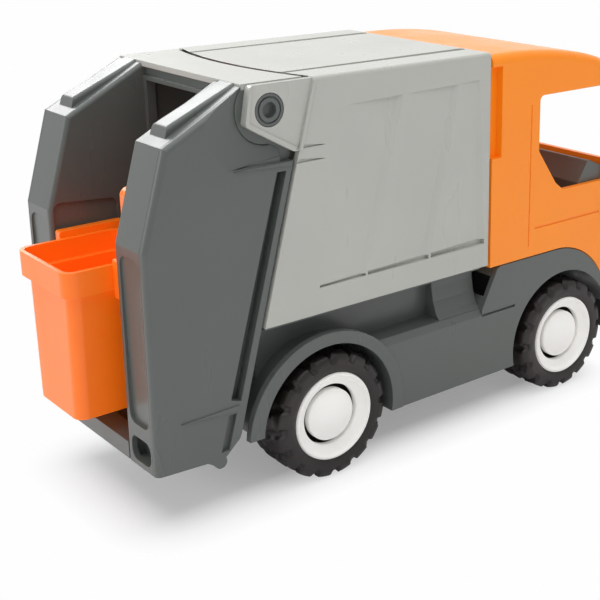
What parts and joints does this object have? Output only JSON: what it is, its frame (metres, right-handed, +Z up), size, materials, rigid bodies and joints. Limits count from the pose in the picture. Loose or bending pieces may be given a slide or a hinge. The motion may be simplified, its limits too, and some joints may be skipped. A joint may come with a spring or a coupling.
{
  "type": "toy refuse truck",
  "caption": "Toy refuse truck: orange cab, pale container, grey chassis, and a tailgate that swings up on side pins and carries a bin on a tipping fork.",
  "frame": {"origin": "on the ground, under the middle of the truck's length and width", "axes": "+X forward, from the tailgate to the cab; +Y to the vehicle's left side; +Z up"},
  "size_m": [0.268, 0.1008, 0.165],
  "materials": {
    "dark_grey_plastic": "satin-gloss injection-moulded plastic, dark grey",
    "light_grey_plastic": "gloss injection-moulded plastic, pale warm grey",
    "orange_plastic": "gloss injection-moulded plastic, orange",
    "bin_orange_plastic": "gloss injection-moulded plastic, lighter orange",
    "white_plastic": "gloss injection-moulded plastic, off-white",
    "tyre_rubber": "matte black soft plastic",
    "screw_steel": "zinc-plated steel"
  },
  "bodies": {
    "truck": {"chassis": "dark_grey_plastic", "rear_axle_keeper": "dark_grey_plastic", "front_axle_keeper": "dark_grey_plastic", "keeper_screws": "screw_steel", "container_shell": "light_grey_plastic", "container_floor": "dark_grey_plastic", "container_screws": "screw_steel", "cab_shell": "orange_plastic", "cab_screws": "screw_steel", "front_bumper": "dark_grey_plastic", "front_grille": "dark_grey_plastic", "headlight_right": "white_plastic", "headlight_left": "white_plastic", "dashboard": "dark_grey_plastic", "steering_wheel": "dark_grey_plastic", "cab_seat": "dark_grey_plastic"},
    "tailgate": {"tailgate_shell": "dark_grey_plastic", "tailgate_side_right": "dark_grey_plastic", "tailgate_side_left": "dark_grey_plastic", "tailgate_hood": "light_grey_plastic", "hopper_tray": "dark_grey_plastic", "hinge_pin_right": "dark_grey_plastic", "hinge_pin_left": "dark_grey_plastic", "lift_pin_right": "screw_steel", "lift_pin_left": "screw_steel"},
    "bin_lifter": {"lift_fork": "bin_orange_plastic"},
    "bin": {"refuse_bin": "bin_orange_plastic"},
    "rear_wheels": {"rear_axle": "screw_steel", "rear_rim_right": "white_plastic", "rear_rim_left": "white_plastic", "rear_tyre_right": "tyre_rubber", "rear_tyre_left": "tyre_rubber", "rear_cap_right": "white_plastic", "rear_cap_left": "white_plastic"},
    "front_wheels": {"front_axle": "screw_steel", "front_rim_right": "white_plastic", "front_rim_left": "white_plastic", "front_tyre_right": "tyre_rubber", "front_tyre_left": "tyre_rubber", "front_cap_right": "white_plastic", "front_cap_left": "white_plastic"}
  },
  "joints": [
    {"name": "tailgate_hinge", "type": "hinge", "parent": "truck", "child": "tailgate", "pos_m": [-0.06355, 0, 0.1551], "axis": [0, 1, 0], "range_deg": [0, 75]},
    {"name": "fork_hinge", "type": "hinge", "parent": "tailgate", "child": "bin_lifter", "pos_m": [-0.09445, 0, 0.099], "axis": [0, 1, 0], "range_deg": [0, 105]},
    {"name": "bin_slide", "type": "slide", "parent": "bin_lifter", "child": "bin", "axis": [-1, 0, 0], "range_m": [0, 0.03]},
    {"name": "rear_axle_spin", "type": "hinge", "parent": "truck", "child": "rear_wheels", "pos_m": [-0.03845, 0, 0.027], "axis": [0, 1, 0], "continuous": true},
    {"name": "front_axle_spin", "type": "hinge", "parent": "truck", "child": "front_wheels", "pos_m": [0.09605, 0, 0.027], "axis": [0, 1, 0], "continuous": true}
  ]
}
